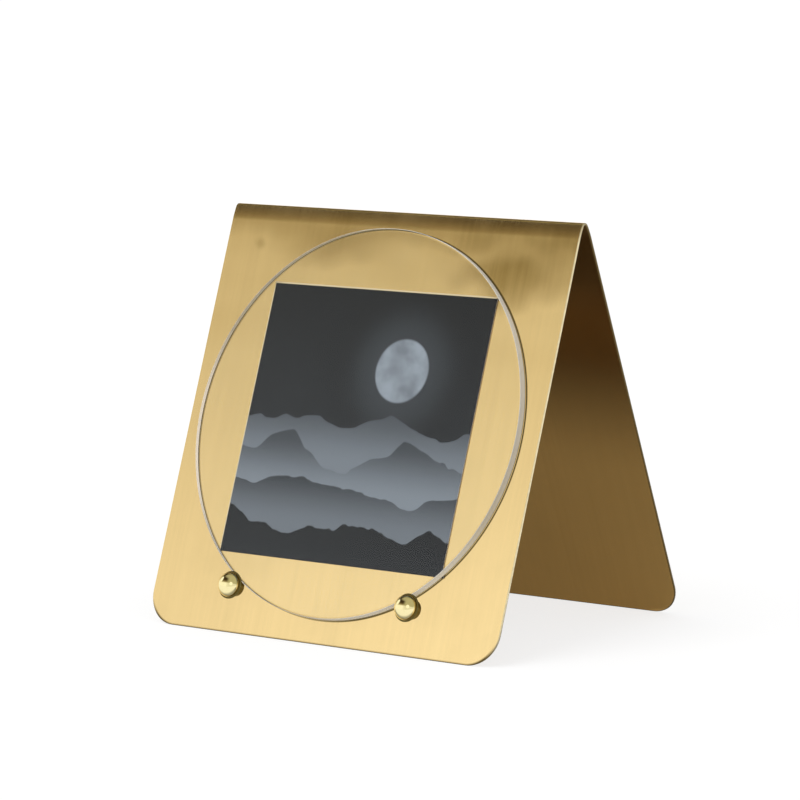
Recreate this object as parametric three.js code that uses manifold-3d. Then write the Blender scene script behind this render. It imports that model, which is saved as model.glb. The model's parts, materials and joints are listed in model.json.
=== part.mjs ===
import * as THREE from 'three';
import { mergeVertices } from 'three/addons/utils/BufferGeometryUtils.js';
import Module from 'manifold-3d';

// Desk photo frame: a tent of brushed sheet metal, with a clear disc that rests on two turned posts
// and holds a square print against the front leg.
// Millimetres, +Z up, front towards -Y. The origin is on the table, in the middle of the object's box.

// Bent sheet
const sheetWidth = 198;
const sheetThickness = 1.2;
const footSpread = 145.7; // between the outer bottom edges of the two legs
const legLean = THREE.MathUtils.degToRad(20.72); // each leg, from the vertical
const bendRadius = 2.4; // outside of the ridge
const easeRadius = 39; // each leg curves this gently before the tight bend
const easeAngle = THREE.MathUtils.degToRad(9.5); // how far that gentle curve turns
const cornerRadius = 15; // bottom corners of both legs

// Clear disc and print
const discDiameter = 180;
const discThickness = 4;
const discBevel = 0.3;
const printSide = 127;
const printThickness = 0.2;
const printHeight = 100; // centre of the print, up the slope from the bottom edge

// Posts: dome screw, spacer sleeve, washer and nut
const postSpacing = 101;
const postHeight = 21.1; // up the slope from the bottom edge
const collarRadius = 6.4; // laps over the edge of the disc
const collarThickness = 0.4;
const collarChamfer = 0.1;
const domeRadius = 5.7;
const domeHeight = 4.9; // above the collar
const shankRadius = 2;
const shankChamfer = 0.4;
const shankPastNut = 1.2;
const sleeveRadius = 4.4;
const sleeveChamfer = 0.2;
const washerRadius = 4.5;
const washerThickness = 0.8;
const washerChamfer = 0.15;
const nutAcrossFlats = 7;
const nutThickness = 3.2;
const nutChamfer = 0.45;

// Fits and facets
const fitGap = 0.25; // between pieces that rest on each other
const boreClearance = 0.3; // round the screw shanks
const cutMargin = 4; // how far a cutter runs past what it cuts
const bendSegments = 8;
const easeSegments = 3;
const cornerSegments = 6;
const discSegments = 128;
const postSegments = 48;
const domeSegments = 10;

// Sizes that follow from those above
const apexHeight = footSpread / 2 / Math.tan(legLean); // where the outer faces would meet
const easeLean = legLean + easeAngle; // where the gentle curve meets the tight bend
const easeOffset = easeRadius - bendRadius; // between the centres of the two
const bendHeight = apexHeight - (easeRadius - easeOffset * Math.cos(easeAngle)) / Math.sin(legLean);
const easeCentreY = easeOffset * Math.cos(easeLean);
const easeCentreHeight = bendHeight - easeOffset * Math.sin(easeLean);
const boreRadius = shankRadius + boreClearance;
const cutDepth = sheetThickness + 2 * cutMargin;
const printBack = fitGap;
const discBack = printBack + printThickness + fitGap;
const discFront = discBack + discThickness;
const headUnderside = discFront + fitGap;
const discCentreHeight =
  postHeight + Math.sqrt((discDiameter / 2 + fitGap + sleeveRadius) ** 2 - (postSpacing / 2) ** 2);
const washerFront = -sheetThickness - fitGap;
const nutFront = washerFront - washerThickness - fitGap;
const shankEnd = nutFront - nutThickness - shankPastNut;

const brushedBrass = new THREE.MeshStandardMaterial({ color: 0xcdb074, roughness: 0.34, metalness: 1 });
const polishedBrass = new THREE.MeshStandardMaterial({ color: 0xe6cf8a, roughness: 0.1, metalness: 1 });
const turnedBrass = new THREE.MeshStandardMaterial({ color: 0x7f6a37, roughness: 0.2, metalness: 1 });
const platedSteel = new THREE.MeshStandardMaterial({ color: 0xb9a26c, roughness: 0.3, metalness: 1 });
const photoPaper = new THREE.MeshStandardMaterial({ color: 0x4a4b4f, roughness: 0.45, metalness: 0 });
const clearAcrylic = new THREE.MeshStandardMaterial({
  color: 0xf1f3f0,
  roughness: 0.05,
  metalness: 0,
  transparent: true,
  opacity: 0.25,
});

const wasm = await Module();
wasm.setup();

// A closed three.js geometry as a solid for cutting
function toSolid(geometry) {
  const bare = geometry.clone();
  bare.deleteAttribute('normal');
  bare.deleteAttribute('uv');
  const merged = mergeVertices(bare);
  return new wasm.Manifold(
    new wasm.Mesh({
      numProp: 3,
      vertProperties: Float32Array.from(merged.attributes.position.array),
      triVerts: Uint32Array.from(merged.index.array),
    }),
  );
}

function toGeometry(solid) {
  const mesh = solid.getMesh();
  const geometry = new THREE.BufferGeometry();
  geometry.setAttribute('position', new THREE.BufferAttribute(mesh.vertProperties, 3));
  geometry.setIndex(new THREE.BufferAttribute(mesh.triVerts, 1));
  geometry.computeVertexNormals();
  return geometry;
}

// A profile of radius and height turned round the Z axis
function turned(points, segments) {
  return new THREE.LatheGeometry(points, segments).rotateX(Math.PI / 2);
}

function place(name, geometry, material, parent, depth = 0) {
  const mesh = new THREE.Mesh(geometry, material);
  mesh.name = name;
  mesh.position.z = depth;
  parent.add(mesh);
}

// From a leg's own frame (X across, Y up the slope, Z out of its outer face) to the tent's frame.
// The rear leg is the front leg turned half round the vertical.
function legMatrix(turn) {
  const matrix = new THREE.Matrix4().makeRotationZ(turn);
  matrix.multiply(new THREE.Matrix4().makeTranslation(0, -footSpread / 2, 0));
  return matrix.multiply(new THREE.Matrix4().makeRotationX(Math.PI / 2 - legLean));
}

// Points over the ridge from the front leg to the rear leg, at a depth below the outside of the sheet
function ridgePoints(depth) {
  const tight = bendRadius - depth;
  const gentle = easeRadius - depth;
  const up = [easeCentreY, easeCentreHeight, gentle, Math.PI - legLean, Math.PI - easeLean, true];
  const over = [0, bendHeight, tight, Math.PI - easeLean, easeLean, true];
  const down = [-easeCentreY, easeCentreHeight, gentle, easeLean, legLean, true];
  return [
    ...new THREE.ArcCurve(...up).getPoints(easeSegments),
    ...new THREE.ArcCurve(...over).getPoints(bendSegments).slice(1),
    ...new THREE.ArcCurve(...down).getPoints(easeSegments).slice(1),
  ];
}

// Section of the bent sheet in the Y-Z plane, drawn along its outside and back along its inside
function tentSection() {
  const outerFoot = footSpread / 2;
  const innerFoot = outerFoot - sheetThickness / Math.cos(legLean);
  return new THREE.Shape([
    new THREE.Vector2(-outerFoot, 0),
    ...ridgePoints(0),
    new THREE.Vector2(outerFoot, 0),
    new THREE.Vector2(innerFoot, 0),
    ...ridgePoints(sheetThickness).reverse(),
    new THREE.Vector2(-innerFoot, 0),
  ]);
}

// What is cut away to round one bottom corner of a leg, on its right (side 1) or left (side -1)
function cornerCutter(side, matrix) {
  const edge = side * sheetWidth / 2;
  const inner = edge - side * cornerRadius;
  const outer = edge + side * cutMargin;
  const outline = new THREE.Shape();
  outline.moveTo(inner, -cutMargin);
  outline.lineTo(outer, -cutMargin);
  outline.lineTo(outer, cornerRadius);
  outline.lineTo(edge, cornerRadius);
  outline.absarc(inner, cornerRadius, cornerRadius, side > 0 ? 0 : Math.PI, -Math.PI / 2, side > 0);
  const cutter = new THREE.ExtrudeGeometry(outline, {
    depth: cutDepth,
    bevelEnabled: false,
    curveSegments: cornerSegments,
  });
  cutter.translate(0, 0, -(sheetThickness + cutDepth) / 2);
  return toSolid(cutter.applyMatrix4(matrix));
}

function holeCutter(x, matrix) {
  const hole = new THREE.CylinderGeometry(boreRadius, boreRadius, cutDepth, postSegments);
  hole.rotateX(Math.PI / 2);
  hole.translate(x, postHeight, -sheetThickness / 2);
  return toSolid(hole.applyMatrix4(matrix));
}

function standSheet() {
  const tent = new THREE.ExtrudeGeometry(tentSection(), { depth: sheetWidth, bevelEnabled: false });
  tent.translate(0, 0, -sheetWidth / 2);
  const sectionToTent = new THREE.Matrix4().makeBasis(
    new THREE.Vector3(0, 1, 0),
    new THREE.Vector3(0, 0, 1),
    new THREE.Vector3(1, 0, 0),
  );
  let solid = toSolid(tent.applyMatrix4(sectionToTent));
  const frontLeg = legMatrix(0);
  const rearLeg = legMatrix(Math.PI);
  for (const side of [-1, 1]) {
    solid = solid.subtract(cornerCutter(side, frontLeg));
    solid = solid.subtract(cornerCutter(side, rearLeg));
    solid = solid.subtract(holeCutter(side * postSpacing / 2, frontLeg));
  }
  return toGeometry(solid);
}

function coverDisc() {
  const radius = discDiameter / 2;
  const profile = new THREE.Path();
  profile.moveTo(0, 0);
  profile.lineTo(radius - discBevel, 0);
  profile.lineTo(radius, discBevel);
  profile.lineTo(radius, discThickness - discBevel);
  profile.lineTo(radius - discBevel, discThickness);
  profile.lineTo(0, discThickness);
  return turned(profile.getPoints(), discSegments);
}

// Shank, collar and dome in one piece, measured from the front face of the sheet
function domeScrew() {
  const collarFront = headUnderside + collarThickness;
  const profile = new THREE.Path();
  profile.moveTo(0, shankEnd);
  profile.lineTo(shankRadius - shankChamfer, shankEnd);
  profile.lineTo(shankRadius, shankEnd + shankChamfer);
  profile.lineTo(shankRadius, headUnderside);
  profile.lineTo(collarRadius - collarChamfer, headUnderside);
  profile.lineTo(collarRadius, headUnderside + collarChamfer);
  profile.lineTo(collarRadius, collarFront - collarChamfer);
  profile.lineTo(collarRadius - collarChamfer, collarFront);
  profile.lineTo(domeRadius, collarFront);
  profile.absellipse(0, collarFront, domeRadius, domeHeight, 0, Math.PI / 2, false);
  const points = profile.getPoints(domeSegments / 2);
  points.at(-1).x = 0;
  return turned(points, postSegments);
}

// A ring with chamfered outer edges, from height 0 up
function ring(innerRadius, outerRadius, height, chamfer) {
  const profile = new THREE.Path();
  profile.moveTo(innerRadius, 0);
  profile.lineTo(outerRadius - chamfer, 0);
  profile.lineTo(outerRadius, chamfer);
  profile.lineTo(outerRadius, height - chamfer);
  profile.lineTo(outerRadius - chamfer, height);
  profile.lineTo(innerRadius, height);
  profile.lineTo(innerRadius, 0);
  return turned(profile.getPoints(), postSegments);
}

// A hexagon inside a ring, so that its corners are chamfered and its middle is open
function hexNut() {
  const cornerReach = nutAcrossFlats / Math.sqrt(3);
  const hexagon = new THREE.CylinderGeometry(cornerReach, cornerReach, nutThickness, 6);
  hexagon.rotateX(Math.PI / 2);
  hexagon.translate(0, 0, nutThickness / 2);
  const turnedBlank = ring(boreRadius, cornerReach, nutThickness, nutChamfer);
  return toGeometry(toSolid(hexagon).intersect(toSolid(turnedBlank)));
}

function addPost(side, word, frontLeg) {
  const post = new THREE.Group();
  post.position.set(side * postSpacing / 2, postHeight, 0);
  frontLeg.add(post);
  const sleeve = ring(boreRadius, sleeveRadius, headUnderside - 2 * fitGap, sleeveChamfer);
  const washer = ring(boreRadius, washerRadius, washerThickness, washerChamfer);
  place(`dome_screw_${word}`, domeScrew(), polishedBrass, post);
  place(`spacer_sleeve_${word}`, sleeve, turnedBrass, post, fitGap);
  place(`back_washer_${word}`, washer, platedSteel, post, washerFront - washerThickness);
  place(`hex_nut_${word}`, hexNut(), platedSteel, post, nutFront - nutThickness);
}

const tent = new THREE.Group();
place('stand_sheet', standSheet(), brushedBrass, tent);

const frontLeg = new THREE.Group();
frontLeg.applyMatrix4(legMatrix(0));
tent.add(frontLeg);

const print = new THREE.Group();
print.position.set(0, printHeight, printBack + printThickness / 2);
place('photo_print', new THREE.BoxGeometry(printSide, printSide, printThickness), photoPaper, print);
frontLeg.add(print);

const disc = new THREE.Group();
disc.position.set(0, discCentreHeight, discBack);
place('cover_disc', coverDisc(), clearAcrylic, disc);
frontLeg.add(disc);

addPost(-1, 'left', frontLeg);
addPost(1, 'right', frontLeg);

// Stand the tent so that the origin is in the middle of its box
tent.updateMatrixWorld(true);
tent.position.y = -new THREE.Box3().setFromObject(tent, true).getCenter(new THREE.Vector3()).y;

const photoFrame = new THREE.Group();
photoFrame.add(tent);

export default photoFrame;
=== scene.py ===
import json
import math

import bmesh
import bpy
from mathutils import Matrix, Vector


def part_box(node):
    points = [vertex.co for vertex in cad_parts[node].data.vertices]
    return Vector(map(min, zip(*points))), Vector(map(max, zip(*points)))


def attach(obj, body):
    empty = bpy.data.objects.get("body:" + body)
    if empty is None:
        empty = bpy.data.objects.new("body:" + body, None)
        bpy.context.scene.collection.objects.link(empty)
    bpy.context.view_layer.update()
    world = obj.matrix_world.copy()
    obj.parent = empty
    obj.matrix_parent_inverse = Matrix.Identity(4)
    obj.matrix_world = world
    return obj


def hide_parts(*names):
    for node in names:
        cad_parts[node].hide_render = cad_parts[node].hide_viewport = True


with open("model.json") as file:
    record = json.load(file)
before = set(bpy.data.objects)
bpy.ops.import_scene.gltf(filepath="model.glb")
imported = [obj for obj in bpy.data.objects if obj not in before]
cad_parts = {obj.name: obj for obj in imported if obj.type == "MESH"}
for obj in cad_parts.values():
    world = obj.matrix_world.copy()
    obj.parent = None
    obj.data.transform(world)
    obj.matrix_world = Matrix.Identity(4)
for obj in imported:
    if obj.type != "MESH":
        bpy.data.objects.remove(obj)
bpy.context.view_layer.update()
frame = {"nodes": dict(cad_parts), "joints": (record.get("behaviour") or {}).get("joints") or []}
scene = bpy.context.scene
scene.view_settings.view_transform = "Standard"
print("frame loaded:", sorted(frame["nodes"]))

# The front leg's own axes, taken from the frame: across, up the slope, out of the sheet
across = Vector((1, 0, 0))
upSlope = Vector(frame["joints"][0]["axis"]).normalized()
outward = across.cross(upSlope)
legLean = math.atan2(upSlope.y, upSlope.z)
legTurn = Matrix((across, upSlope, outward)).transposed().to_4x4()


def boxCentre(node):
    low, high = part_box(node)
    return (low + high) / 2


def onLeg(node):  # a piece's own axes, at the middle of its node
    return Matrix.Translation(boxCentre(node)) @ legTurn


# Camera

cameraView = {
    "place": (1.164440, -1.500293, 0.374713),
    "aim": (-0.003687, -0.001395, 0.101101),
    "roll": math.radians(-1.0669),
    "lens": 189.521,
}


def makeCamera(spec):
    place = Vector(spec["place"])
    look = (Vector(spec["aim"]) - place).to_track_quat("-Z", "Y").to_matrix().to_4x4()
    data = bpy.data.cameras.new("photoCamera")
    data.lens = spec["lens"]
    camera = bpy.data.objects.new("photoCamera", data)
    camera.matrix_world = Matrix.Translation(place) @ look @ Matrix.Rotation(spec["roll"], 4, "Z")
    scene.collection.objects.link(camera)
    scene.camera = camera


makeCamera(cameraView)
print("camera set")


# Node helpers

def addNode(tree, kind, inputs=None, **settings):
    node = tree.nodes.new("ShaderNode" + kind)
    for name, value in settings.items():
        setattr(node, name, value)
    for name, value in (inputs or {}).items():
        if isinstance(value, bpy.types.NodeSocket):
            tree.links.new(value, node.inputs[name])
        else:
            node.inputs[name].default_value = value
    return node


def maths(tree, operation, *values):
    node = addNode(tree, "Math", dict(enumerate(values)), operation=operation)
    return node.outputs[0]


def vectors(tree, operation, first, second=None):
    inputs = {0: first}
    if second is not None:
        inputs["Scale" if operation == "SCALE" else 1] = second
    node = addNode(tree, "VectorMath", inputs, operation=operation)
    return node.outputs["Value" if operation in ("LENGTH", "DISTANCE") else "Vector"]


def remap(tree, value, fromLow, fromHigh, toLow=0.0, toHigh=1.0, smooth=False):
    inputs = {"Value": value, "From Min": fromLow, "From Max": fromHigh, "To Min": toLow, "To Max": toHigh}
    node = addNode(tree, "MapRange", inputs, interpolation_type="SMOOTHSTEP" if smooth else "LINEAR")
    return node.outputs["Result"]


def mixColour(tree, share, first, second, blend="MIX"):
    node = addNode(tree, "Mix", data_type="RGBA", blend_type=blend)
    for socket, value in ((node.inputs[0], share), (node.inputs[6], first), (node.inputs[7], second)):
        if isinstance(value, bpy.types.NodeSocket):
            tree.links.new(value, socket)
        else:
            socket.default_value = value
    return node.outputs[2]


def colour(red, green, blue):
    return (red, green, blue, 1.0)


def newGroup(name, inputs, outputs):
    tree = bpy.data.node_groups.new(name, "ShaderNodeTree")
    for label, value in inputs.items():
        socket = tree.interface.new_socket(name=label, in_out="INPUT", socket_type="NodeSocketFloat")
        socket.default_value = value
    for label in outputs:
        tree.interface.new_socket(name=label, in_out="OUTPUT", socket_type="NodeSocketFloat")
    return tree, tree.nodes.new("NodeGroupInput").outputs, tree.nodes.new("NodeGroupOutput").inputs


def useGroup(tree, group, **values):
    node = tree.nodes.new("ShaderNodeGroup")
    node.node_tree = group
    for label, value in values.items():
        node.inputs[label].default_value = value
    return node.outputs


def newMaterial(name, **sockets):
    material = bpy.data.materials.new(name)
    material.use_nodes = True
    tree = material.node_tree
    shader = tree.nodes["Principled BSDF"]
    for label, value in sockets.items():
        shader.inputs[label.replace("_", " ")].default_value = value
    return material, tree, shader


def feed(tree, shader, **sockets):
    for label, socket in sockets.items():
        tree.links.new(socket, shader.inputs[label.replace("_", " ")])


def objectPlace(tree):
    return addNode(tree, "TexCoord").outputs["Object"]


def axesOf(tree, place):
    return addNode(tree, "SeparateXYZ", {0: place}).outputs


def noise(tree, place, scale, detail, **more):
    inputs = {"Vector": place, "Scale": scale, "Detail": detail, **more}
    return addNode(tree, "TexNoise", inputs).outputs


def noiseAlong(tree, along, detail, **more):  # along a line
    inputs = {"W": along, "Scale": 1.0, "Detail": detail, **more}
    return addNode(tree, "TexNoise", inputs, noise_dimensions="1D").outputs[0]


def colourRamp(tree, value, stops):
    ramp = addNode(tree, "ValToRGB", {"Fac": value})
    elements = ramp.color_ramp.elements
    for index, (position, tone) in enumerate(stops):
        element = elements[index] if index < len(elements) else elements.new(position)
        element.position = position
        element.color = tone
    return ramp.outputs[0]


def lightPathShare(tree, *names):
    path = addNode(tree, "LightPath").outputs
    share = path[names[0]]
    for name in names[1:]:
        share = maths(tree, "MAXIMUM", share, path[name])
    return share


# Effects that several finishes share

def makeBrushedGrain():  # fine lines drawn one way, with broader streaks among them
    tree, given, put = newGroup("brushedGrain", {"Across": 2400.0, "Along": 12.0}, ["Grain", "Streak"])
    scale = addNode(tree, "CombineXYZ", {"X": given["Across"], "Y": given["Along"], "Z": given["Along"]})
    fine = vectors(tree, "MULTIPLY", objectPlace(tree), scale.outputs[0])
    broad = vectors(tree, "MULTIPLY", fine, (0.11, 0.6, 0.6))
    for name, lines, detail in (("Grain", fine, 3.0), ("Streak", broad, 4.0)):
        tree.links.new(remap(tree, noise(tree, lines, 1.0, detail)[0], 0.3, 0.7), put[name])
    return tree


def makeHandlingMarks():  # soft smudges and a few hairline scratches
    tree, given, put = newGroup("handlingMarks", {"Smudges": 40.0, "Scratches": 30.0}, ["Smudge", "Scratch"])
    place = objectPlace(tree)
    cloud = noise(tree, place, given["Smudges"], 5.0, Roughness=0.6)[0]
    slant = {"Vector": place, "Rotation": (0.3, 0.5, 0.7), "Scale": (1.0, 0.12, 1.0)}
    slanted = addNode(tree, "Mapping", slant).outputs[0]
    wander = noise(tree, place, 18.0, 1.0)
    path = vectors(tree, "ADD", slanted, vectors(tree, "SCALE", wander[1], 0.03))
    cells = {"Vector": path, "Scale": given["Scratches"]}
    fromEdge = addNode(tree, "TexVoronoi", cells, feature="DISTANCE_TO_EDGE").outputs["Distance"]
    line = remap(tree, fromEdge, 0.0, 0.012, 1.0, 0.0)
    patchy = remap(tree, wander[0], 0.5, 0.65)
    tree.links.new(remap(tree, cloud, 0.42, 0.72, smooth=True), put["Smudge"])
    tree.links.new(maths(tree, "MULTIPLY", line, patchy), put["Scratch"])
    return tree


def makeEdgeWear():  # brighter metal where an edge has been handled
    tree, given, put = newGroup("edgeWear", {"Reach": 0.08}, ["Wear"])
    sharp = addNode(tree, "NewGeometry").outputs["Pointiness"]
    patch = noise(tree, objectPlace(tree), 160.0, 3.0)[0]
    edge = maths(tree, "DIVIDE", maths(tree, "SUBTRACT", sharp, 0.5), given["Reach"])
    broken = maths(tree, "MULTIPLY", edge, remap(tree, patch, 0.3, 0.6, 0.5, 1.0))
    tree.links.new(addNode(tree, "Clamp", {"Value": broken}).outputs[0], put["Wear"])
    return tree


def makeTurnedRings():  # tool marks round a piece's own axis
    tree, given, put = newGroup("turnedRings", {"Count": 9000.0}, ["Ring"])
    parts = axesOf(tree, objectPlace(tree))
    flat = addNode(tree, "CombineXYZ", {"X": parts["X"], "Y": parts["Y"]}).outputs[0]
    spread = maths(tree, "ADD", vectors(tree, "LENGTH", flat), parts["Z"])
    ring = noiseAlong(tree, maths(tree, "MULTIPLY", spread, given["Count"]), 2.0)
    tree.links.new(remap(tree, ring, 0.3, 0.7), put["Ring"])
    return tree


brushedGrain = makeBrushedGrain()
handlingMarks = makeHandlingMarks()
edgeWear = makeEdgeWear()
turnedRings = makeTurnedRings()
print("shared effects made")


# Mesh helpers

def shadeSmooth(mesh, sharpAngle):
    mesh.shade_smooth()
    mesh.set_sharp_from_angle(angle=sharpAngle)


def addPiece(name, mesh, materials, body, node, place=None):
    piece = bpy.data.objects.new(name, mesh)
    scene.collection.objects.link(piece)
    piece.matrix_world = place or Matrix.Identity(4)
    for material in materials:
        mesh.materials.append(material)
    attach(piece, body)
    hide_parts(node)
    return piece


def keepModifiers(piece):  # the mesh as its modifiers leave it
    bpy.context.view_layer.update()
    done = bpy.data.meshes.new_from_object(piece.evaluated_get(bpy.context.evaluated_depsgraph_get()))
    piece.modifiers.clear()
    piece.data = done


def turnedMesh(name, rows, segments, closed=False):
    # rows of radius and height from the bottom, outwards, up and in again; a row may change with the angle
    mesh = bpy.data.meshes.new(name)
    work = bmesh.new()
    rings = []
    for row in rows:
        ring = []
        for step in range(segments):
            angle = 2 * math.pi * step / segments
            radius, height = row(angle) if callable(row) else row
            if radius > 0 or not ring:
                ring.append(work.verts.new((radius * math.cos(angle), radius * math.sin(angle), height)))
        rings.append(ring)
    pairs = list(zip(rings, rings[1:])) + ([(rings[-1], rings[0])] if closed else [])
    for lower, upper in pairs:
        for step in range(segments):
            after = step + 1
            corners = [lower[step % len(lower)], lower[after % len(lower)]]
            corners += [upper[after % len(upper)], upper[step % len(upper)]]
            work.faces.new(list(dict.fromkeys(corners)))
    if not closed and len(rings[0]) > 1:
        work.faces.new(rings[0][::-1])
    if not closed and len(rings[-1]) > 1:
        work.faces.new(rings[-1])
    work.to_mesh(mesh)
    work.free()
    return mesh


def arc(centre, radius, start, end, steps):  # points of radius and height round a rounded edge
    turns = [math.radians(start + (end - start) * step / steps) for step in range(steps + 1)]
    return [(centre[0] + radius * math.cos(turn), centre[1] + radius * math.sin(turn)) for turn in turns]


# Brushed sheet, bent into a tent

sheetSpec = {
    "thickness": 0.0012,
    "bendRadius": 0.0024,
    "easeRadius": 0.039,
    "easeAngle": math.radians(9.5),
    "cornerRadius": 0.015,
    "edgeRound": 0.0003,
    "holeRadius": 0.0023,
    "holeSegments": 48,
    "sharpAngle": math.radians(20),
    "columns": 24,
    "cornerSteps": 14,
    "legSteps": 20,
    "easeSteps": 14,
    "bendSteps": 24,
    "lowColour": colour(0.78, 0.58, 0.27),
    "highColour": colour(0.99, 0.755, 0.37),
    "grainShare": 0.20,
    "streakShare": 0.15,
    "paintedSheenShare": 0.65,  # painted sheen: base colour brighter towards the right edge
    "paintedSheenReach": 0.1,
    "smudgeColour": colour(0.62, 0.50, 0.25),
    "smudgeShare": 0.10,
    "frontFade": (-0.001, 0.002),  # the painted dark reflections and painted shadow stop at the ridge
    "ridgeReflectionColour": colour(0.36, 0.24, 0.07),
    "reflectionStreak": (0.86, 1.08),
    "reflectionWaves": 45.0,
    "reflectionWander": 0.018,
    "paintedReflections": (  # across, height, half width, half height, strength; painted dark reflections near the ridge
        (0.000, 0.1815, 0.600, 0.0085, 0.33),
        (0.067, 0.1620, 0.040, 0.0115, 0.83),
        (0.091, 0.1770, 0.030, 0.0100, 0.50),
        (0.048, 0.1775, 0.024, 0.0075, 0.42),
        (-0.035, 0.1705, 0.036, 0.0110, 0.55),
        (-0.080, 0.1690, 0.004, 0.0035, 0.35),
    ),
    # painted contact shadow: its colour, the ring round the disc's seat and the line along the foot
    "paintedShadowColour": colour(0.10, 0.07, 0.02),
    "seatLine": (0.0896, 0.0898, 0.0904, 0.0907),
    "seatFaint": -0.050,  # faintest here, across the sheet
    "seatFade": (0.010, 0.070),
    "seatShare": (0.3, 0.95),
    "footLine": (0.0140, 0.0149),
    "footFade": (0.004, 0.011),
    "cornerShadow": 5.0,
    # inside: painted warm tint of light bounced between the legs, and painted shade darkening towards the
    # ridge
    "innerBounceTint": colour(0.98, 0.82, 0.56),
    "innerShadeColour": colour(0.275, 0.16, 0.05),
    "innerLow": 0.065,
    "innerHigh": 0.125,
    "footRise": (0.003, 0.016),
    "rearFade": (-0.004, 0.004),
    "cutColour": colour(0.97, 0.84, 0.55),
    "darkEdgeColour": colour(0.13, 0.09, 0.035),
    # painted shade for the foot of the outer arris and the whole inner arris
    "edgeShadeColour": colour(0.16, 0.11, 0.04),
    "edgeRoughness": 0.3,
    "roughness": 0.20,
    "grainRoughness": 0.05,
    "smudgeRoughness": 0.04,
    "anisotropy": 0.90,
    "waveHeight": 0.00035,
    "waveScale": 34.0,
    "waveStretch": (0.4, 1.0, 1.0),
    "waveRise": (0.09, 0.17),
    "waveShare": (0.06, 1.0),  # nearly flat low down, rippled by the ridge
}


def frontOnly(tree, spec, place):
    return remap(tree, axesOf(tree, place)["Y"], *spec["frontFade"], 1.0, 0.0)


def paintedReflectionMask(tree, spec, place):  # painted dark reflections: soft clouds with wandering outlines
    wander = vectors(tree, "SUBTRACT", noise(tree, place, spec["reflectionWaves"], 1.0)[1], (0.5, 0.5, 0.5))
    moved = vectors(tree, "ADD", place, vectors(tree, "SCALE", wander, spec["reflectionWander"]))
    mask = 0.0
    for middle, height, halfWidth, halfHeight, strength in spec["paintedReflections"]:
        off = vectors(tree, "SUBTRACT", moved, (middle, 0.0, height))
        away = vectors(tree, "LENGTH", vectors(tree, "MULTIPLY", off, (1 / halfWidth, 0.0, 1 / halfHeight)))
        cloud = remap(tree, away, 0.1, 1.3, strength, 0.0, smooth=True)
        mask = maths(tree, "MULTIPLY_ADD", cloud, maths(tree, "SUBTRACT", 1.0, mask), mask)
    return maths(tree, "MULTIPLY", mask, frontOnly(tree, spec, place))


def paintedShadowMask(tree, spec, place):  # painted contact shadow where the disc's edge sits, and along the foot and its corners
    parts = axesOf(tree, place)
    seat = vectors(tree, "DISTANCE", place, boxCentre("cover_disc"))
    innerEnd, innerFull, outerFull, outerEnd = spec["seatLine"]
    ring = remap(tree, seat, innerEnd, innerFull)
    ring = maths(tree, "MULTIPLY", ring, remap(tree, seat, outerFull, outerEnd, 1.0, 0.0))
    aside = maths(tree, "ABSOLUTE", maths(tree, "SUBTRACT", parts["X"], spec["seatFaint"]))
    ring = maths(tree, "MULTIPLY", ring, remap(tree, aside, *spec["seatFade"], *spec["seatShare"]))
    corner = spec["cornerRadius"]
    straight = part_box("stand_sheet")[1].x - corner
    sideways = maths(tree, "ABSOLUTE", parts["X"])
    beside = maths(tree, "MAXIMUM", maths(tree, "SUBTRACT", sideways, straight), 0.0)
    climb = maths(tree, "DIVIDE", parts["Z"], upSlope.z)
    below = maths(tree, "MAXIMUM", maths(tree, "SUBTRACT", corner, climb), 0.0)
    reach = addNode(tree, "CombineXYZ", {"X": beside, "Y": below}).outputs[0]
    thicker = maths(tree, "MULTIPLY", maths(tree, "MULTIPLY", beside, below), spec["cornerShadow"])
    foot = remap(tree, maths(tree, "ADD", vectors(tree, "LENGTH", reach), thicker), *spec["footLine"])
    foot = maths(tree, "MULTIPLY", foot, remap(tree, climb, *spec["footFade"], 1.0, 0.0))
    return maths(tree, "MULTIPLY", maths(tree, "MAXIMUM", ring, foot), frontOnly(tree, spec, place))


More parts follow.
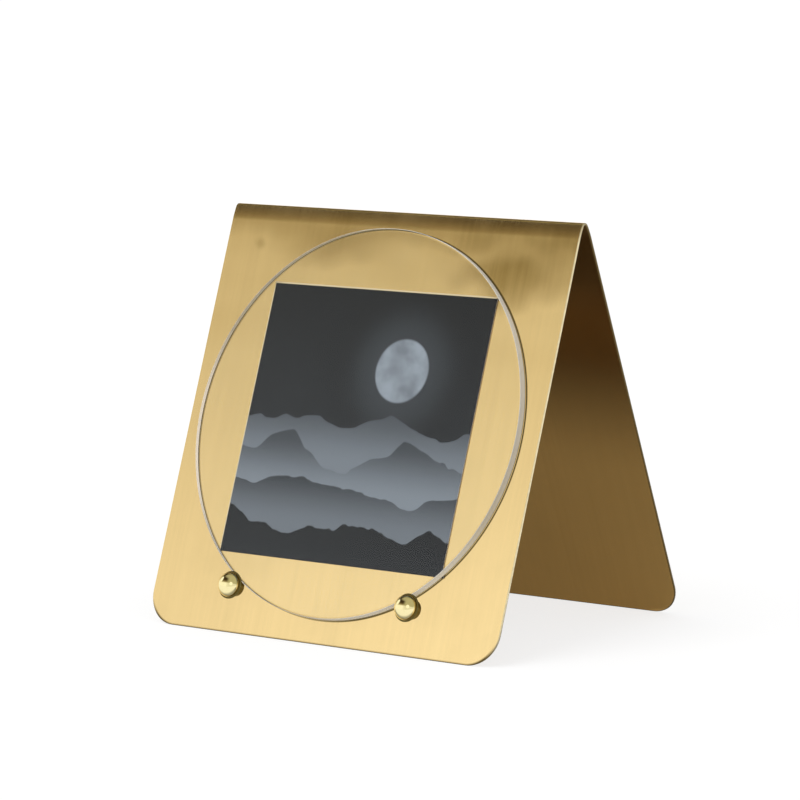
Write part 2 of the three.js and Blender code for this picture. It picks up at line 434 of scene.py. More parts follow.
def brushedBrass(name, spec, inside):  # outside with painted sheen; inside with a painted warm bounce tint and painted shade, darker towards the ridge
    material, tree, shader = newMaterial(name, Metallic=1.0, Anisotropic=spec["anisotropy"])
    grain = useGroup(tree, brushedGrain, Across=4200.0, Along=14.0)
    marks = useGroup(tree, handlingMarks, Smudges=26.0, Scratches=22.0)
    place = objectPlace(tree)
    parts = axesOf(tree, place)
    # painted sheen: the base colour brightens towards the right edge
    paintedSheen = remap(tree, parts["X"], -spec["paintedSheenReach"], spec["paintedSheenReach"])
    tone = maths(tree, "MULTIPLY", grain["Grain"], spec["grainShare"])
    tone = maths(tree, "MULTIPLY_ADD", grain["Streak"], spec["streakShare"], tone)
    tone = maths(tree, "MULTIPLY_ADD", paintedSheen, spec["paintedSheenShare"], tone)
    base = mixColour(tree, tone, spec["lowColour"], spec["highColour"])
    smudged = maths(tree, "MULTIPLY", marks["Smudge"], spec["smudgeShare"])
    base = mixColour(tree, smudged, base, spec["smudgeColour"])
    if inside:
        # painted bounce tint and painted shade, darker towards the ridge
        base = mixColour(tree, 1.0, base, spec["innerBounceTint"], blend="MULTIPLY")
        insideShade = remap(tree, parts["Z"], spec["innerLow"], spec["innerHigh"], smooth=True)
        base = mixColour(tree, insideShade, base, spec["innerShadeColour"])
    else:
        # painted reflection: dark clouds near the ridge, stronger along the streaks
        streaked = remap(tree, grain["Streak"], 0.0, 1.0, *spec["reflectionStreak"])
        paintedDark = maths(tree, "MULTIPLY", paintedReflectionMask(tree, spec, place), streaked)
        base = mixColour(tree, paintedDark, base, spec["ridgeReflectionColour"])
        # painted contact shadow round the disc's seat and along the foot
        base = mixColour(tree, paintedShadowMask(tree, spec, place), base, spec["paintedShadowColour"])
    smooth = spec["roughness"] - spec["grainRoughness"] / 2
    rough = maths(tree, "MULTIPLY_ADD", grain["Grain"], spec["grainRoughness"], smooth)
    rough = maths(tree, "MULTIPLY_ADD", marks["Smudge"], spec["smudgeRoughness"], rough)
    wide = vectors(tree, "MULTIPLY", place, spec["waveStretch"])
    waves = noise(tree, wide, spec["waveScale"], 0.5)[0]
    rippled = remap(tree, parts["Z"], *spec["waveRise"], *spec["waveShare"], smooth=True)
    lifted = maths(tree, "MULTIPLY", waves, rippled)
    bump = addNode(tree, "Bump", {"Height": lifted, "Strength": 1.0, "Distance": spec["waveHeight"]})
    tangent = addNode(tree, "Tangent", direction_type="UV_MAP", uv_map="sheetMap")
    feed(tree, shader, Base_Color=base, Roughness=rough, Normal=bump.outputs[0], Tangent=tangent.outputs[0])
    return material


def sheetEdge(name, spec, footColour, legColour):  # footColour by the table, legColour up the front leg, and darker on the rear leg and along streaks
    material, tree, shader = newMaterial(name, Metallic=1.0)
    grain = useGroup(tree, brushedGrain, Across=1500.0, Along=900.0)
    parts = axesOf(tree, objectPlace(tree))
    base = mixColour(tree, remap(tree, parts["Z"], *spec["footRise"], smooth=True), footColour, legColour)
    base = mixColour(tree, remap(tree, parts["Y"], *spec["rearFade"]), base, spec["darkEdgeColour"])
    base = mixColour(tree, maths(tree, "MULTIPLY", grain["Streak"], 0.2), base, spec["darkEdgeColour"])
    rough = maths(tree, "MULTIPLY_ADD", grain["Grain"], 0.15, spec["edgeRoughness"])
    feed(tree, shader, Base_Color=base, Roughness=rough)
    return material


def sheetRows(spec, low, high):
    # from the front foot to the ridge, each row is a function of two values:
    # the inset from the sheet's outline and the depth below its outside
    halfSpread = (high.y - low.y) / 2
    half = (high.x - low.x) / 2
    easeLean = legLean + spec["easeAngle"]
    easeOffset = spec["easeRadius"] - spec["bendRadius"]
    apex = halfSpread / math.tan(legLean)
    drop = (spec["easeRadius"] - easeOffset * math.cos(spec["easeAngle"])) / math.sin(legLean)
    bendCentre = Vector((0, apex - drop))
    easeCentre = bendCentre + easeOffset * Vector((math.cos(easeLean), -math.sin(easeLean)))
    legNormal = Vector((-math.cos(legLean), math.sin(legLean)))
    upLeg = Vector((math.sin(legLean), math.cos(legLean)))
    foot = Vector((-halfSpread, 0))
    legLength = (easeCentre + spec["easeRadius"] * legNormal - foot).length
    corner = spec["cornerRadius"]

    def cornerRow(turn):
        def spot(inset, depth):  # the feet are dressed level with the table, so their inside starts higher
            radius = corner - inset
            distance = corner - radius * math.cos(turn) + depth * math.tan(legLean) * math.cos(turn)
            return foot + upLeg * distance - legNormal * depth, half - corner + radius * math.sin(turn)
        return spot

    def legRow(distance):
        return lambda inset, depth: (foot + upLeg * distance - legNormal * depth, half - inset)

    def roundRow(centre, radius, lean):
        normal = Vector((-math.cos(lean), math.sin(lean)))
        return lambda inset, depth: (centre + normal * (radius - depth), half - inset)

    rows = [cornerRow(math.pi / 2 * step / spec["cornerSteps"]) for step in range(spec["cornerSteps"])]
    stretch = legLength - corner
    rows += [legRow(corner + stretch * step / spec["legSteps"]) for step in range(spec["legSteps"])]
    for step in range(spec["easeSteps"]):
        lean = legLean + spec["easeAngle"] * step / spec["easeSteps"]
        rows.append(roundRow(easeCentre, spec["easeRadius"], lean))
    for step in range(spec["bendSteps"] + 1):
        lean = easeLean + (math.pi / 2 - easeLean) * step / spec["bendSteps"]
        rows.append(roundRow(bendCentre, spec["bendRadius"], lean))
    return rows


def bentSheetMesh(spec, low, high):
    ridge = (low.y + high.y) / 2
    half = (high.x - low.x) / 2
    columns = spec["columns"]
    thick = spec["thickness"]
    edge = spec["edgeRound"]
    eased = edge * (1 - math.sqrt(0.5))
    layers = [(edge, 0), (eased, eased), (0, edge), (0, thick - edge), (eased, thick - eased), (edge, thick)]
    outside, cutFace, outerArris, inside, innerArris = range(5)  # in the order of the sheet's finishes
    aroundEdge = (outerArris, outerArris, cutFace, innerArris, innerArris)  # from each layer to the next
    front = sheetRows(spec, low, high)
    rows = [(row, 1) for row in front] + [(row, -1) for row in front[-2::-1]]
    mesh = bpy.data.meshes.new("bentSheet")
    work = bmesh.new()
    sheetMap = work.loops.layers.uv.new("sheetMap")
    rowOf = {}

    def gridRow(index, inset, depth):
        row, side = rows[index]
        point, width = row(inset, depth)
        onEdge = inset < edge and 0 < index < len(rows) - 1
        count = 1 if onEdge else columns  # an edge needs only its two ends
        places = [width * (2 * k / count - 1) for k in range(count + 1)]
        verts = [work.verts.new((x, ridge + side * point.x, point.y)) for x in places]
        rowOf.update((vert, index) for vert in verts)
        return verts

    grids = [[gridRow(index, *layer) for index in range(len(rows))] for layer in layers]

    def strip(first, second, finish):
        for k in range(len(first) - 1):
            work.faces.new((first[k], first[k + 1], second[k + 1], second[k])).material_index = finish

    for grid, finish in ((grids[0], outside), (grids[-1], inside)):
        for lower, upper in zip(grid, grid[1:]):
            strip(lower, upper, finish)
    for above, below, finish in zip(grids, grids[1:], aroundEdge):
        strip(above[0], below[0], finish)
        strip(above[-1], below[-1], finish)
        for end in (0, -1):
            strip([line[end] for line in above], [line[end] for line in below], finish)
    for face in work.faces:
        for loop in face.loops:
            loop[sheetMap].uv = (loop.vert.co.x / (2 * half) + 0.5, rowOf[loop.vert] / len(rows))
    bmesh.ops.recalc_face_normals(work, faces=work.faces)
    work.to_mesh(mesh)
    work.free()
    return mesh


def addBentSheet(spec):
    low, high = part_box("stand_sheet")
    mesh = bentSheetMesh(spec, low, high)
    finishes = [
        brushedBrass("brushedBrass", spec, inside=False),
        sheetEdge("cutEdge", spec, spec["cutColour"], spec["cutColour"]),
        # painted shade: dark along the foot, cut colour above
        sheetEdge("shadedOuterArris", spec, spec["edgeShadeColour"], spec["cutColour"]),
        brushedBrass("innerShadedBrass", spec, inside=True),
        # painted shade all along the inner arris
        sheetEdge("innerArris", spec, spec["edgeShadeColour"], spec["edgeShadeColour"]),
    ]
    sheet = addPiece("bentSheet", mesh, finishes, "stand", "stand_sheet")
    reach = spec["thickness"] * 4
    rod = [(0, -reach), (spec["holeRadius"], -reach), (spec["holeRadius"], reach), (0, reach)]
    drills = []
    for side in ("left", "right"):
        drill = bpy.data.objects.new("drill", turnedMesh("drill", rod, spec["holeSegments"]))
        drill.matrix_world = onLeg("spacer_sleeve_" + side)
        scene.collection.objects.link(drill)
        drills.append(drill)
        cut = sheet.modifiers.new("hole", "BOOLEAN")
        cut.operation = "DIFFERENCE"
        cut.object = drill
    shadeSmooth(mesh, spec["sharpAngle"])
    keepModifiers(sheet)
    for drill in drills:
        bpy.data.objects.remove(drill)


addBentSheet(sheetSpec)
print("bent sheet made")


# Clear disc with a polished rim

discSpec = {
    "thickness": 0.004,
    "rimRound": 0.00018,
    "flatBorder": 0.001,
    "segments": 256,
    "sharpAngle": math.radians(30),
    "faceColour": colour(0.985, 0.99, 0.985),
    "glareColour": colour(0.12, 0.12, 0.12),
    "passColour": colour(0.995, 0.995, 0.993),
    "rimTones": (  # from the back face to the front face; the dark band at the back is painted contact shadow
        (0.00, colour(0.10, 0.08, 0.03)),
        (0.10, colour(0.14, 0.11, 0.05)),
        (0.14, colour(0.93, 0.92, 0.89)),
        (0.40, colour(0.88, 0.86, 0.82)),
        (1.00, colour(0.80, 0.775, 0.72)),
    ),
    "darkBack": (0.10, 0.14),
    # painted glow, by emission, where light would gather in the acrylic edge
    "paintedRimGlows": (  # tone, where it sets in across, where it sets in up the slope
        (colour(0.30, 0.265, 0.24), (-0.066, -0.087), (0.045, 0.0)),
        (colour(0.17, 0.17, 0.165), (-0.020, 0.020), (-0.030, -0.070)),
    ),
    "rimRoughness": 0.32,
    "rimGloss": 0.2,
}


def clearAcrylic(spec):  # light for the print and the sheet goes straight through
    material, tree, shader = newMaterial("clearAcrylic", Transmission_Weight=1.0, IOR=1.49)
    shader.inputs["Base Color"].default_value = spec["faceColour"]
    shader.inputs["Specular Tint"].default_value = spec["glareColour"]
    marks = useGroup(tree, handlingMarks, Smudges=30.0, Scratches=14.0)
    feed(tree, shader, Roughness=maths(tree, "MULTIPLY", marks["Scratch"], 0.05))
    lit = lightPathShare(tree, "Is Shadow Ray", "Is Diffuse Ray")
    through = addNode(tree, "BsdfTransparent", {"Color": spec["passColour"]})
    mixed = addNode(tree, "MixShader", {0: lit, 1: shader.outputs[0], 2: through.outputs[0]})
    tree.links.new(mixed.outputs[0], tree.nodes["Material Output"].inputs["Surface"])
    return material


def polishedRim(spec):  # pale, with a painted shadow line along the back; a painted glow by emission at the left and lower right
    material, tree, shader = newMaterial("polishedRim", Emission_Strength=1.0)
    shader.inputs["Specular IOR Level"].default_value = spec["rimGloss"]
    marks = useGroup(tree, handlingMarks, Smudges=120.0, Scratches=60.0)
    parts = axesOf(tree, objectPlace(tree))
    height = remap(tree, parts["Z"], -spec["thickness"] / 2, spec["thickness"] / 2)
    base = colourRamp(tree, height, spec["rimTones"])
    rough = maths(tree, "MULTIPLY_ADD", marks["Smudge"], 0.06, spec["rimRoughness"])
    dark = colour(0, 0, 0)
    glow = dark
    for tone, sideways, upwards in spec["paintedRimGlows"]:
        share = remap(tree, parts["X"], *sideways, smooth=True)
        share = maths(tree, "MULTIPLY", share, remap(tree, parts["Y"], *upwards, smooth=True))
        glow = mixColour(tree, share, glow, tone)
    # no painted glow on the painted shadow band at the back
    glow = mixColour(tree, remap(tree, height, *spec["darkBack"]), dark, glow)
    feed(tree, shader, Base_Color=base, Roughness=rough, Emission_Color=glow)
    return material


def addClearDisc(spec):
    low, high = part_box("cover_disc")
    radius = (high.x - low.x) / 2
    top = spec["thickness"] / 2
    edge = spec["rimRound"]
    inner = radius - edge
    flat = inner - spec["flatBorder"]  # a border ring keeps the faces flat up to the edge
    rows = [(0, -top), (flat, -top)] + arc((inner, edge - top), edge, -90, 0, 5)
    rows += arc((inner, top - edge), edge, 0, 90, 5) + [(flat, top), (0, top)]
    mesh = turnedMesh("clearDisc", rows, spec["segments"])
    shadeSmooth(mesh, spec["sharpAngle"])
    materials = [clearAcrylic(spec), polishedRim(spec)]
    place = onLeg("cover_disc")
    disc = addPiece("clearDisc", mesh, materials, "cover", "cover_disc", place)
    disc.visible_glossy = False  # the brushed sheet blurs it away
    for face in mesh.polygons:  # clear faces, pale rim
        face.material_index = 0 if abs(face.normal.z) > 0.99 else 1


addClearDisc(discSpec)
print("clear disc made")


# Square print: moonlit hills on charcoal

printSpec = {  # places on the print are shares of its side, from its middle
    "thickness": 0.0002,
    "sharpAngle": math.radians(30),
    "skyTone": 0.014,
    "horizonTone": 0.028,
    "skySpan": (-0.1, 0.5),
    "hazeShare": (0.85, 1.15),
    "moonPlace": (0.15, 0.21, 0.0),
    "moonRadius": 0.115,
    "moonEdge": 0.004,
    "moonTone": 0.42,
    "seaShare": 0.6,
    "haloTone": 0.035,
    "haloReach": 2.4,
    "hills": (  # middle height, swing, waves across, tone on the crest, tone in the mist, depth of mist
        (0.00, 0.055, 2.6, 0.10, 0.26, 0.15),
        (-0.11, 0.065, 3.3, 0.075, 0.30, 0.15),
        (-0.23, 0.060, 2.4, 0.045, 0.22, 0.15),
        (-0.38, 0.055, 3.6, 0.018, 0.030, 0.20),
    ),
    "hillEdge": 0.002,
    "hillShift": 7.3,  # gives each hill its own outline
    "inkTint": (0.87, 1.0, 1.15),
    # painted highlight along the print's top and left edges
    "edgeHighlightColour": colour(0.85, 0.70, 0.43),
    "topHighlight": 0.0055,
    "leftHighlight": 0.0040,
    "gloss": 0.15,
    "roughness": 0.40,
    "coreLow": colour(0.80, 0.79, 0.77),
    "coreHigh": colour(0.90, 0.895, 0.88),
}


def layOver(tree, share, tone, under):
    return maths(tree, "MULTIPLY_ADD", share, maths(tree, "SUBTRACT", tone, under), under)


def moonlitSky(tree, spec, flat):
    haze = noise(tree, flat, 3.0, 4.0)[0]
    sky = remap(tree, axesOf(tree, flat)["Y"], *spec["skySpan"], spec["horizonTone"], spec["skyTone"])
    sky = maths(tree, "MULTIPLY", sky, remap(tree, haze, 0.2, 0.8, *spec["hazeShare"]))
    away = vectors(tree, "DISTANCE", flat, spec["moonPlace"])
    radius = spec["moonRadius"]
    halo = remap(tree, away, radius, radius * spec["haloReach"], spec["haloTone"], 0.0, smooth=True)
    moon = remap(tree, away, radius - spec["moonEdge"], radius + spec["moonEdge"], 1.0, 0.0)
    seas = noise(tree, flat, 11.0, 4.0)[0]
    pale = remap(tree, seas, 0.35, 0.65, spec["moonTone"], spec["moonTone"] * spec["seaShare"])
    return layOver(tree, moon, pale, maths(tree, "ADD", sky, halo))


def mistyHills(tree, spec, flat, tone):  # from the far hills to the near ones
    parts = axesOf(tree, flat)
    for index, (middle, swing, count, crest, mist, depth) in enumerate(spec["hills"]):
        along = maths(tree, "MULTIPLY_ADD", parts["X"], count, spec["hillShift"] * (index + 1))
        ridge = noiseAlong(tree, along, 6.0, Roughness=0.45)
        line = maths(tree, "MULTIPLY_ADD", maths(tree, "SUBTRACT", ridge, 0.5), swing * 4, middle)
        hill = remap(tree, parts["Y"], middle + swing, middle - depth, crest, mist, smooth=True)
        under = maths(tree, "SUBTRACT", line, parts["Y"])
        tone = layOver(tree, remap(tree, under, -spec["hillEdge"], spec["hillEdge"]), hill, tone)
    return tone


def printedPaper(spec, side):
    material, tree, shader = newMaterial("printedPaper", Specular_IOR_Level=spec["gloss"])
    place = vectors(tree, "SCALE", objectPlace(tree), 1 / side)
    flat = vectors(tree, "MULTIPLY", place, (1.0, 1.0, 0.0))
    tone = mistyHills(tree, spec, flat, moonlitSky(tree, spec, flat))
    tinted = [maths(tree, "MULTIPLY", tone, tint) for tint in spec["inkTint"]]
    ink = addNode(tree, "CombineColor", dict(enumerate(tinted))).outputs[0]
    parts = axesOf(tree, flat)
    # painted highlight: a pale strip along the top and left edges
    above = maths(tree, "GREATER_THAN", parts["Y"], 0.5 - spec["topHighlight"])
    beside = maths(tree, "LESS_THAN", parts["X"], spec["leftHighlight"] - 0.5)
    ink = mixColour(tree, maths(tree, "MAXIMUM", above, beside), ink, spec["edgeHighlightColour"])
    marks = useGroup(tree, handlingMarks, Smudges=24.0, Scratches=20.0)
    rough = maths(tree, "MULTIPLY_ADD", marks["Smudge"], 0.08, spec["roughness"])
    feed(tree, shader, Base_Color=ink, Roughness=rough)
    return material


def paperCore(spec):
    material, tree, shader = newMaterial("paperCore", Roughness=0.8)
    fibre = noise(tree, objectPlace(tree), 900.0, 3.0)[0]
    base = mixColour(tree, fibre, spec["coreLow"], spec["coreHigh"])
    bump = addNode(tree, "Bump", {"Height": fibre, "Strength": 0.3, "Distance": 0.00002})
    feed(tree, shader, Base_Color=base, Normal=bump.outputs[0])
    return material


def addPrint(spec):
    low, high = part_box("photo_print")
    side = high.x - low.x
    mesh = bpy.data.meshes.new("printSheet")
    work = bmesh.new()
    bmesh.ops.create_grid(work, x_segments=16, y_segments=16, size=side / 2)
    bmesh.ops.translate(work, verts=work.verts, vec=(0, 0, spec["thickness"] / 2))
    bmesh.ops.solidify(work, geom=work.faces[:], thickness=spec["thickness"])
    bmesh.ops.recalc_face_normals(work, faces=work.faces)
    work.to_mesh(mesh)
    work.free()
    shadeSmooth(mesh, spec["sharpAngle"])
    materials = [printedPaper(spec, side), paperCore(spec)]
    addPiece("printSheet", mesh, materials, "print", "photo_print", onLeg("photo_print"))
    for face in mesh.polygons:  # printed on its front only
        face.material_index = 0 if face.normal.z > 0.5 else 1


addPrint(printSpec)
print("print made")


# Posts: dome screw, sleeve, washer and nut

fitGap = 0.00025  # between pieces that touch on the real frame
postSharpAngle = math.radians(14)
screwSpec = {
    "collarRadius": 0.0064,
    "collarThickness": 0.0004,
    "collarRound": 0.0001,
    "domeRadius": 0.0057,
    "domeHeight": 0.0049,
    "darkFoot": 0.0011,
    "shankRadius": 0.002,
    "shankPastNut": 0.0012,
    "threadPitch": 0.0007,
    "threadDepth": 0.00038,
    "threadLength": 0.0062,
    "endChamfer": 0.0004,
    "segments": 96,
    "domeSteps": 28,
    "lowColour": colour(0.89, 0.775, 0.40),
    "highColour": colour(0.95, 0.84, 0.47),
    "roughness": 0.055,
}
sleeveSpec = {
    "radius": 0.0044,
    "bore": 0.0023,
    "length": 0.00445,
    "edgeRound": 0.0002,
    "segments": 96,
    # painted shade: very dark brass for the shaded sleeve, collar and dome foot
    "lowColour": colour(0.105, 0.082, 0.026),
    "highColour": colour(0.15, 0.12, 0.038),
    "smudgeColour": colour(0.08, 0.06, 0.02),
    "wornColour": colour(0.30, 0.25, 0.10),
    "roughness": 0.16,
}
washerSpec = {"radius": 0.0045, "bore": 0.0023, "thickness": 0.0008, "edgeRound": 0.00018, "segments": 96}
nutSpec = {
    "acrossFlats": 0.007,
    "thickness": 0.0032,
    "bore": 0.00228,
    "threadPitch": 0.0007,
    "threadDepth": 0.00018,
    "countersink": 0.0003,
    "chamferAngle": math.radians(30),
    "faceShare": 0.96,  # of the flats, where the chamfer starts on the end faces
    "segments": 96,
}
platedSpec = {
    "lowColour": colour(0.62, 0.52, 0.31),
    "highColour": colour(0.74, 0.64, 0.41),
    "smudgeColour": colour(0.50, 0.42, 0.27),
    "wornColour": colour(0.82, 0.78, 0.68),
    "roughness": 0.24,
}


def polishedBrass(spec):
    material, tree, shader = newMaterial("polishedBrass", Metallic=1.0)
    marks = useGroup(tree, handlingMarks, Smudges=300.0, Scratches=160.0)
    rings = useGroup(tree, turnedRings, Count=14000.0)
    base = mixColour(tree, marks["Smudge"], spec["highColour"], spec["lowColour"])
    rough = maths(tree, "MULTIPLY_ADD", marks["Scratch"], 0.12, spec["roughness"])
    rough = maths(tree, "MULTIPLY_ADD", rings["Ring"], 0.02, rough)
    feed(tree, shader, Base_Color=base, Roughness=rough)
    return material


def shadedTurnedBrass(spec):  # painted shade: a very dark base colour for the shade under the dome head; bright again where its edges are worn
    material, tree, shader = newMaterial("shadedTurnedBrass", Metallic=1.0)
    rings = useGroup(tree, turnedRings, Count=11000.0)
    marks = useGroup(tree, handlingMarks, Smudges=250.0, Scratches=120.0)
    worn = useGroup(tree, edgeWear, Reach=0.2)
    base = mixColour(tree, rings["Ring"], spec["lowColour"], spec["highColour"])
    base = mixColour(tree, maths(tree, "MULTIPLY", marks["Smudge"], 0.3), base, spec["smudgeColour"])
    base = mixColour(tree, worn["Wear"], base, spec["wornColour"])
    rough = maths(tree, "MULTIPLY_ADD", rings["Ring"], 0.1, spec["roughness"])
    bump = addNode(tree, "Bump", {"Height": rings["Ring"], "Strength": 0.5, "Distance": 0.00001})
    feed(tree, shader, Base_Color=base, Roughness=rough, Normal=bump.outputs[0])
    return material


def platedSteel(spec):
    material, tree, shader = newMaterial("platedSteel", Metallic=1.0)
    grain = useGroup(tree, brushedGrain, Across=5200.0, Along=500.0)
    marks = useGroup(tree, handlingMarks, Smudges=320.0, Scratches=140.0)
    worn = useGroup(tree, edgeWear, Reach=0.12)
    base = mixColour(tree, grain["Grain"], spec["lowColour"], spec["highColour"])
    base = mixColour(tree, maths(tree, "MULTIPLY", marks["Smudge"], 0.4), base, spec["smudgeColour"])
    base = mixColour(tree, worn["Wear"], base, spec["wornColour"])
    rough = maths(tree, "MULTIPLY_ADD", grain["Grain"], 0.12, spec["roughness"])
    feed(tree, shader, Base_Color=base, Roughness=rough)
    return material


def threadRows(crest, depth, pitch, start, end):  # a helical groove between two heights
    stepsPerTurn = 8
    steps = round(abs(end - start) / pitch * stepsPerTurn)

    def threadRow(height):
        fade = min(1, abs(height - start) / pitch, abs(end - height) / pitch)

        def cut(angle):
            share = (height / pitch - angle / (2 * math.pi)) % 1
            return crest - depth * fade * (1 - abs(2 * share - 1)), height
        return cut

    return [threadRow(start + (end - start) * step / steps) for step in range(steps + 1)]


def domeScrewMesh(spec, underside, shankEnd):
    shank = spec["shankRadius"]
    edge = spec["collarRound"]
    inner = spec["collarRadius"] - edge
    front = underside + spec["collarThickness"]
    chamfer = spec["endChamfer"]
    rows = [(0, shankEnd), (shank - chamfer, shankEnd), (shank, shankEnd + chamfer)]
    threadEnd = shankEnd + spec["threadLength"]
    rows += threadRows(shank, spec["threadDepth"], spec["threadPitch"], shankEnd + chamfer, threadEnd)[1:]
    rows += [(shank, underside)] + arc((inner, underside + edge), edge, -90, 0, 3)
    rows += arc((inner, front - edge), edge, 0, 90, 3)
    for step in range(spec["domeSteps"]):
        turn = math.pi / 2 * step / spec["domeSteps"]
        rows.append((spec["domeRadius"] * math.cos(turn), front + spec["domeHeight"] * math.sin(turn)))
    rows.append((0, front + spec["domeHeight"]))
    mesh = turnedMesh("domeScrew", rows, spec["segments"])
    darkLow = underside + edge / 4
    darkHigh = front + spec["darkFoot"]
    for face in mesh.polygons:  # painted shade: the collar and the foot of the dome take the dark sleeve finish, the rest is bright
        face.material_index = 1 if darkLow < face.center.z < darkHigh else 0
    return mesh


def sleeveMesh(spec):
    end = spec["length"] / 2
    edge = spec["edgeRound"]
    inner = spec["radius"] - edge
    rows = [(spec["bore"], -end)] + arc((inner, edge - end), edge, -90, 0, 3)
    rows += arc((inner, end - edge), edge, 0, 90, 3) + [(spec["bore"], end)]
    return turnedMesh("spacerSleeve", rows, spec["segments"], closed=True)


def washerMesh(spec):
    end = spec["thickness"] / 2
    edge = spec["edgeRound"]
    inner = spec["radius"] - edge
    bore = spec["bore"] + edge
    rows = arc((bore, edge - end), edge, -180, -90, 3) + arc((inner, edge - end), edge, -90, 0, 3)
    rows += arc((inner, end - edge), edge, 0, 90, 3) + arc((bore, end - edge), edge, 90, 180, 3)
    return turnedMesh("backWasher", rows, spec["segments"], closed=True)


def hexNutMesh(spec):
    flat = spec["acrossFlats"] / 2
    end = spec["thickness"] / 2
    sink = spec["countersink"]
    bore = spec["bore"]
    rim = flat * spec["faceShare"]

    def side(sign):
        def corner(angle):
            sector = (angle + math.pi / 6) % (math.pi / 3) - math.pi / 6
            reach = flat / math.cos(sector)
            return reach, sign * (end - (reach - rim) * math.tan(spec["chamferAngle"]))
        return corner

    rows = [(bore + sink, -end), (rim, -end), side(-1), side(1), (rim, end), (bore + sink, end)]
    rows += threadRows(bore, -spec["threadDepth"], spec["threadPitch"], end - sink, sink - end)
    return turnedMesh("hexNut", rows, spec["segments"], closed=True)


def addPosts():
    mirrorBrass = polishedBrass(screwSpec)
    shadedBrass = shadedTurnedBrass(sleeveSpec)
    plated = platedSteel(platedSpec)
    underside = sleeveSpec["length"] / 2 + fitGap
    stack = sheetSpec["thickness"] + washerSpec["thickness"] + nutSpec["thickness"] + 3 * fitGap
    shankEnd = -sleeveSpec["length"] / 2 - stack - screwSpec["shankPastNut"]
    for side in ("left", "right"):
        sleevePlace = onLeg("spacer_sleeve_" + side)
        screw = domeScrewMesh(screwSpec, underside, shankEnd)  # measured from the middle of its sleeve
        pieces = (
            ("domeScrew", screw, [mirrorBrass, shadedBrass], "polished_brass", "dome_screw_"),
            ("spacerSleeve", sleeveMesh(sleeveSpec), [shadedBrass], "turned_brass", "spacer_sleeve_"),
            ("backWasher", washerMesh(washerSpec), [plated], "plated_steel", "back_washer_"),
            ("hexNut", hexNutMesh(nutSpec), [plated], "plated_steel", "hex_nut_"),
        )
        for name, mesh, materials, slot, node in pieces:
            place = sleevePlace if name == "domeScrew" else onLeg(node + side)
            shadeSmooth(mesh, postSharpAngle)
            piece = addPiece(name + side.capitalize(), mesh, materials, "stand", node + side, place)
            blurredAway = name in ("domeScrew", "spacerSleeve")  # in the brushed sheet
            piece.visible_glossy = not blurredAway


addPosts()
print("posts made")


# Floor, lamps and surroundings

studio = {
    "floorRadius": 60.0,
    "floorColour": colour(0.26, 0.26, 0.26),
    "floorLift": 0.77,
    "floorDrop": 0.00005,
    "tentScale": (5.5, 12.5, 0.0),  # painted shade: the floor's glow seen in the metal is cut under the tent
    "tentEdge": (1.0, 1.15),
    "tentShadeShare": 0.17,
    "ambient": 0.70,
    "keyAngle": math.radians(40),
    "keyStrength": 1.2,
    "keyTurn": (math.radians(35), 0, math.radians(-20)),
    "roomTones": (  # up the slope of either leg
        (0.090, colour(1.10, 1.10, 1.09)),
        (0.117, colour(0.96, 0.945, 0.91)),
        (0.138, colour(0.79, 0.76, 0.69)),
        (0.160, colour(0.74, 0.705, 0.61)),
        (0.175, colour(0.67, 0.63, 0.52)),
        (0.180, colour(0.56, 0.51, 0.38)),
        (0.220, colour(0.38, 0.33, 0.215)),
        (0.280, colour(0.25, 0.20, 0.12)),
        (0.380, colour(0.10, 0.073, 0.037)),
        (0.480, colour(0.045, 0.031, 0.015)),
        (0.620, colour(0.045, 0.031, 0.015)),
        (0.780, colour(0.42, 0.40, 0.30)),
        (1.000, colour(0.50, 0.48, 0.36)),
    ),
    "sideTurn": (-0.35, 0.2),  # from the left of the room to the right
    "nearClimb": (0.10, 0.25),
    "nearLow": colour(0.85, 0.85, 0.80),
    "nearHigh": colour(0.50, 0.48, 0.34),
    "lampColour": colour(1.15, 1.15, 1.12),
    "lampEdge": 0.85,
    "windowWay": (-0.90, -0.14, 0.42),
    "windowReach": 0.28,
    "softboxWay": (0.507, -0.751, 0.423),
    "softboxReach": 0.27,
}


def addFloor(spec):
    mesh = bpy.data.meshes.new("floor")
    work = bmesh.new()
    bmesh.ops.create_circle(work, cap_ends=True, segments=64, radius=spec["floorRadius"])
    work.to_mesh(mesh)
    work.free()
    floor = bpy.data.objects.new("floor", mesh)
    floor.location.z = -spec["floorDrop"]
    scene.collection.objects.link(floor)
    material, tree, shader = newMaterial("paleFloor", Roughness=0.9, Specular_IOR_Level=0.0)
    shader.inputs["Base Color"].default_value = spec["floorColour"]
    seen = lightPathShare(tree, "Is Camera Ray", "Is Transmission Ray")
    away = vectors(tree, "LENGTH", vectors(tree, "MULTIPLY", objectPlace(tree), spec["tentScale"]))
    # painted shade under the tent in the floor's glow for glossy rays
    outside = remap(tree, away, *spec["tentEdge"], spec["tentShadeShare"], 1.0)
    mirrored = maths(tree, "MULTIPLY", lightPathShare(tree, "Is Glossy Ray"), outside)
    lift = maths(tree, "MULTIPLY", maths(tree, "MAXIMUM", seen, mirrored), spec["floorLift"])
    glow = addNode(tree, "Emission", {"Strength": lift})
    both = addNode(tree, "AddShader", {0: shader.outputs[0], 1: glow.outputs[0]})
    tree.links.new(both.outputs[0], tree.nodes["Material Output"].inputs["Surface"])
    mesh.materials.append(material)


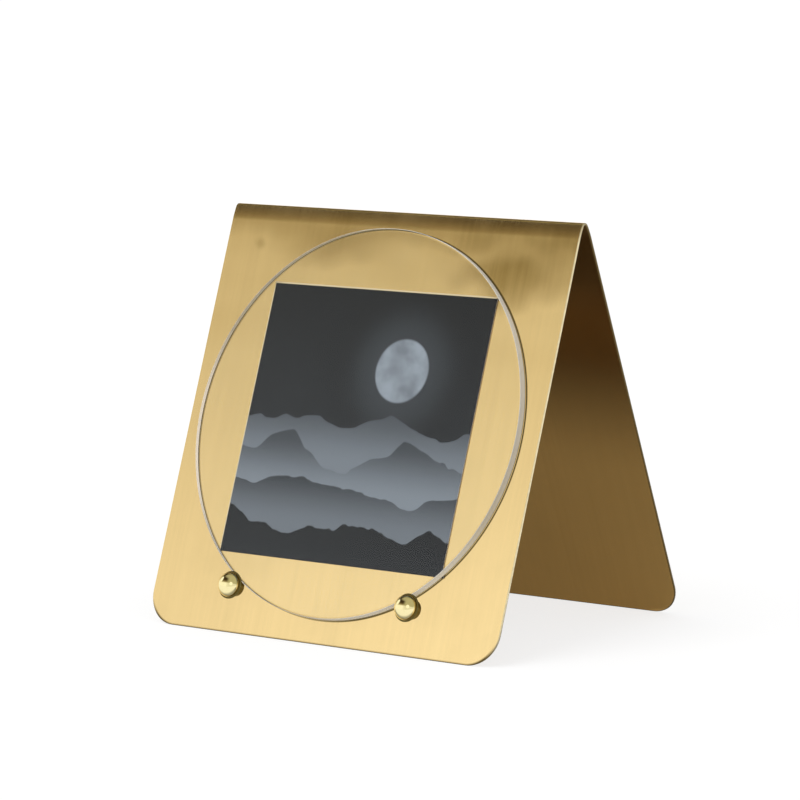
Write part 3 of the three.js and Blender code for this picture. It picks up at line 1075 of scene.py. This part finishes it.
def addLamps(spec):
    key = bpy.data.lights.new("softKey", "SUN")
    key.angle = spec["keyAngle"]
    key.energy = spec["keyStrength"]
    keyLamp = bpy.data.objects.new("softKey", key)
    keyLamp.rotation_euler = spec["keyTurn"]
    keyLamp.visible_glossy = False
    scene.collection.objects.link(keyLamp)


def makeSurroundings(spec):  # white for the camera; in the metal a white room with a dim, warm ceiling
    world = bpy.data.worlds.new("studio")
    scene.world = world
    world.use_nodes = True
    tree = world.node_tree
    tree.nodes.clear()
    way = addNode(tree, "TexCoord").outputs["Generated"]
    parts = axesOf(tree, way)
    depth = maths(tree, "MULTIPLY", maths(tree, "ABSOLUTE", parts["Y"]), -upSlope.y)
    climb = maths(tree, "MULTIPLY_ADD", parts["Z"], upSlope.z, depth)
    leftSide = colourRamp(tree, climb, spec["roomTones"])
    above = remap(tree, climb, *spec["nearClimb"], smooth=True)
    rightSide = mixColour(tree, above, spec["nearLow"], spec["nearHigh"])
    inRoom = mixColour(tree, remap(tree, parts["X"], *spec["sideTurn"], smooth=True), leftSide, rightSide)
    for name in ("window", "softbox"):
        off = vectors(tree, "DISTANCE", way, spec[name + "Way"])
        reach = spec[name + "Reach"]
        inside = remap(tree, off, reach * spec["lampEdge"], reach, 1.0, 0.0)
        inRoom = mixColour(tree, inside, inRoom, spec["lampColour"])
    room = addNode(tree, "Background", {"Color": inRoom, "Strength": 1.0})
    soft = addNode(tree, "Background", {"Color": colour(1, 1, 1), "Strength": spec["ambient"]})
    white = addNode(tree, "Background", {"Color": colour(1, 1, 1), "Strength": 1.0})
    glossy = lightPathShare(tree, "Is Glossy Ray")
    seen = lightPathShare(tree, "Is Camera Ray", "Is Transmission Ray")
    inMetal = addNode(tree, "MixShader", {0: glossy, 1: soft.outputs[0], 2: room.outputs[0]})
    shown = addNode(tree, "MixShader", {0: seen, 1: inMetal.outputs[0], 2: white.outputs[0]})
    addNode(tree, "OutputWorld", {"Surface": shown.outputs[0]})


addFloor(studio)
addLamps(studio)
makeSurroundings(studio)
print("studio made")
